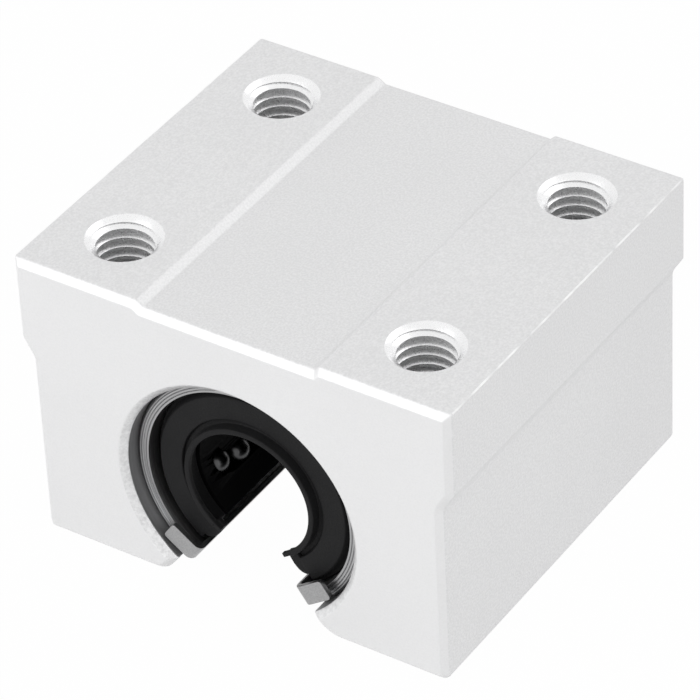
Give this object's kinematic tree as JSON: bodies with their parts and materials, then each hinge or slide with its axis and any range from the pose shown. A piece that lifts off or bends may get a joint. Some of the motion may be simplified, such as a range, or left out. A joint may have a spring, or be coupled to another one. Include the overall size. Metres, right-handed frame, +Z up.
{
  "type": "linear bearing block",
  "caption": "Open linear ball bearing in an aluminium block, slotted below to pass along a supported shaft, with tapped holes in its top face.",
  "frame": {"origin": "on the shaft axis, at the middle of the block's length", "axes": "+Y along the shaft, from the front face to the rear face; +Z up to the drilled mounting face; +X across the block"},
  "size_m": [0.036, 0.032, 0.024],
  "materials": {
    "housing": "clear anodised, fine matte grain",
    "sleeve": "turned and ground",
    "retainer": "moulded",
    "seal": "matte",
    "clip": "rolled strip",
    "screw": "black oxide",
    "ball": "polished"
  },
  "bodies": {
    "block": {"block": "housing", "bearing_sleeve": "sleeve", "ball_retainer": "retainer", "front_seal": "seal", "rear_seal": "seal", "left_clip": "clip", "right_clip": "clip", "set_screw": "screw"},
    "load_balls_top": {"load_balls_top": "ball"},
    "return_balls_top": {"return_balls_top": "ball"},
    "front_turn_balls_top": {"front_turn_balls_top": "ball"},
    "rear_turn_balls_top": {"rear_turn_balls_top": "ball"},
    "load_balls_right": {"load_balls_right": "ball"},
    "return_balls_right": {"return_balls_right": "ball"},
    "front_turn_balls_right": {"front_turn_balls_right": "ball"},
    "rear_turn_balls_right": {"rear_turn_balls_right": "ball"},
    "load_balls_left": {"load_balls_left": "ball"},
    "return_balls_left": {"return_balls_left": "ball"},
    "front_turn_balls_left": {"front_turn_balls_left": "ball"},
    "rear_turn_balls_left": {"rear_turn_balls_left": "ball"}
  },
  "joints": [
    {"name": "load_top_slide", "type": "slide", "parent": "block", "child": "load_balls_top", "axis": [0, 1, 0], "range_m": [-0.00116, 0.00116]},
    {"name": "return_top_slide", "type": "slide", "parent": "block", "child": "return_balls_top", "axis": [0, 1, 0], "range_m": [-0.00116, 0.00116]},
    {"name": "front_turn_top_hinge", "type": "hinge", "parent": "block", "child": "front_turn_balls_top", "pos_m": [0.00147, -0.0093, 0.00618], "axis": [-0.1193, 0, 0.9929], "range_deg": [-45, 45]},
    {"name": "rear_turn_top_hinge", "type": "hinge", "parent": "block", "child": "rear_turn_balls_top", "pos_m": [0.00147, 0.0093, 0.00618], "axis": [-0.1193, 0, 0.9929], "range_deg": [-45, 45]},
    {"name": "load_right_slide", "type": "slide", "parent": "block", "child": "load_balls_right", "axis": [0, 1, 0], "range_m": [-0.00116, 0.00116]},
    {"name": "return_right_slide", "type": "slide", "parent": "block", "child": "return_balls_right", "axis": [0, 1, 0], "range_m": [-0.00116, 0.00116]},
    {"name": "front_turn_right_hinge", "type": "hinge", "parent": "block", "child": "front_turn_balls_right", "pos_m": [0.00622, -0.0093, -0.00128], "axis": [-0.8494, 0, 0.5277], "range_deg": [-45, 45]},
    {"name": "rear_turn_right_hinge", "type": "hinge", "parent": "block", "child": "rear_turn_balls_right", "pos_m": [0.00622, 0.0093, -0.00128], "axis": [-0.8494, 0, 0.5277], "range_deg": [-45, 45]},
    {"name": "load_left_slide", "type": "slide", "parent": "block", "child": "load_balls_left", "axis": [0, 1, 0], "range_m": [-0.00116, 0.00116]},
    {"name": "return_left_slide", "type": "slide", "parent": "block", "child": "return_balls_left", "axis": [0, 1, 0], "range_m": [-0.00116, 0.00116]},
    {"name": "front_turn_left_hinge", "type": "hinge", "parent": "block", "child": "front_turn_balls_left", "pos_m": [-0.00622, -0.0093, -0.00128], "axis": [-0.8494, 0, -0.5277], "range_deg": [-45, 45]},
    {"name": "rear_turn_left_hinge", "type": "hinge", "parent": "block", "child": "rear_turn_balls_left", "pos_m": [-0.00622, 0.0093, -0.00128], "axis": [-0.8494, 0, -0.5277], "range_deg": [-45, 45]}
  ],
  "couplings": [
    {"joint": "return_top_slide", "follows": "load_top_slide", "ratio": -1},
    {"joint": "front_turn_top_hinge", "follows": "load_top_slide", "rad_per_m": -675.68},
    {"joint": "rear_turn_top_hinge", "follows": "load_top_slide", "rad_per_m": -675.68},
    {"joint": "load_right_slide", "follows": "load_top_slide", "ratio": 1},
    {"joint": "return_right_slide", "follows": "load_top_slide", "ratio": -1},
    {"joint": "front_turn_right_hinge", "follows": "load_top_slide", "rad_per_m": -675.68},
    {"joint": "rear_turn_right_hinge", "follows": "load_top_slide", "rad_per_m": -675.68},
    {"joint": "load_left_slide", "follows": "load_top_slide", "ratio": 1},
    {"joint": "return_left_slide", "follows": "load_top_slide", "ratio": -1},
    {"joint": "front_turn_left_hinge", "follows": "load_top_slide", "rad_per_m": -675.68},
    {"joint": "rear_turn_left_hinge", "follows": "load_top_slide", "rad_per_m": -675.68}
  ]
}
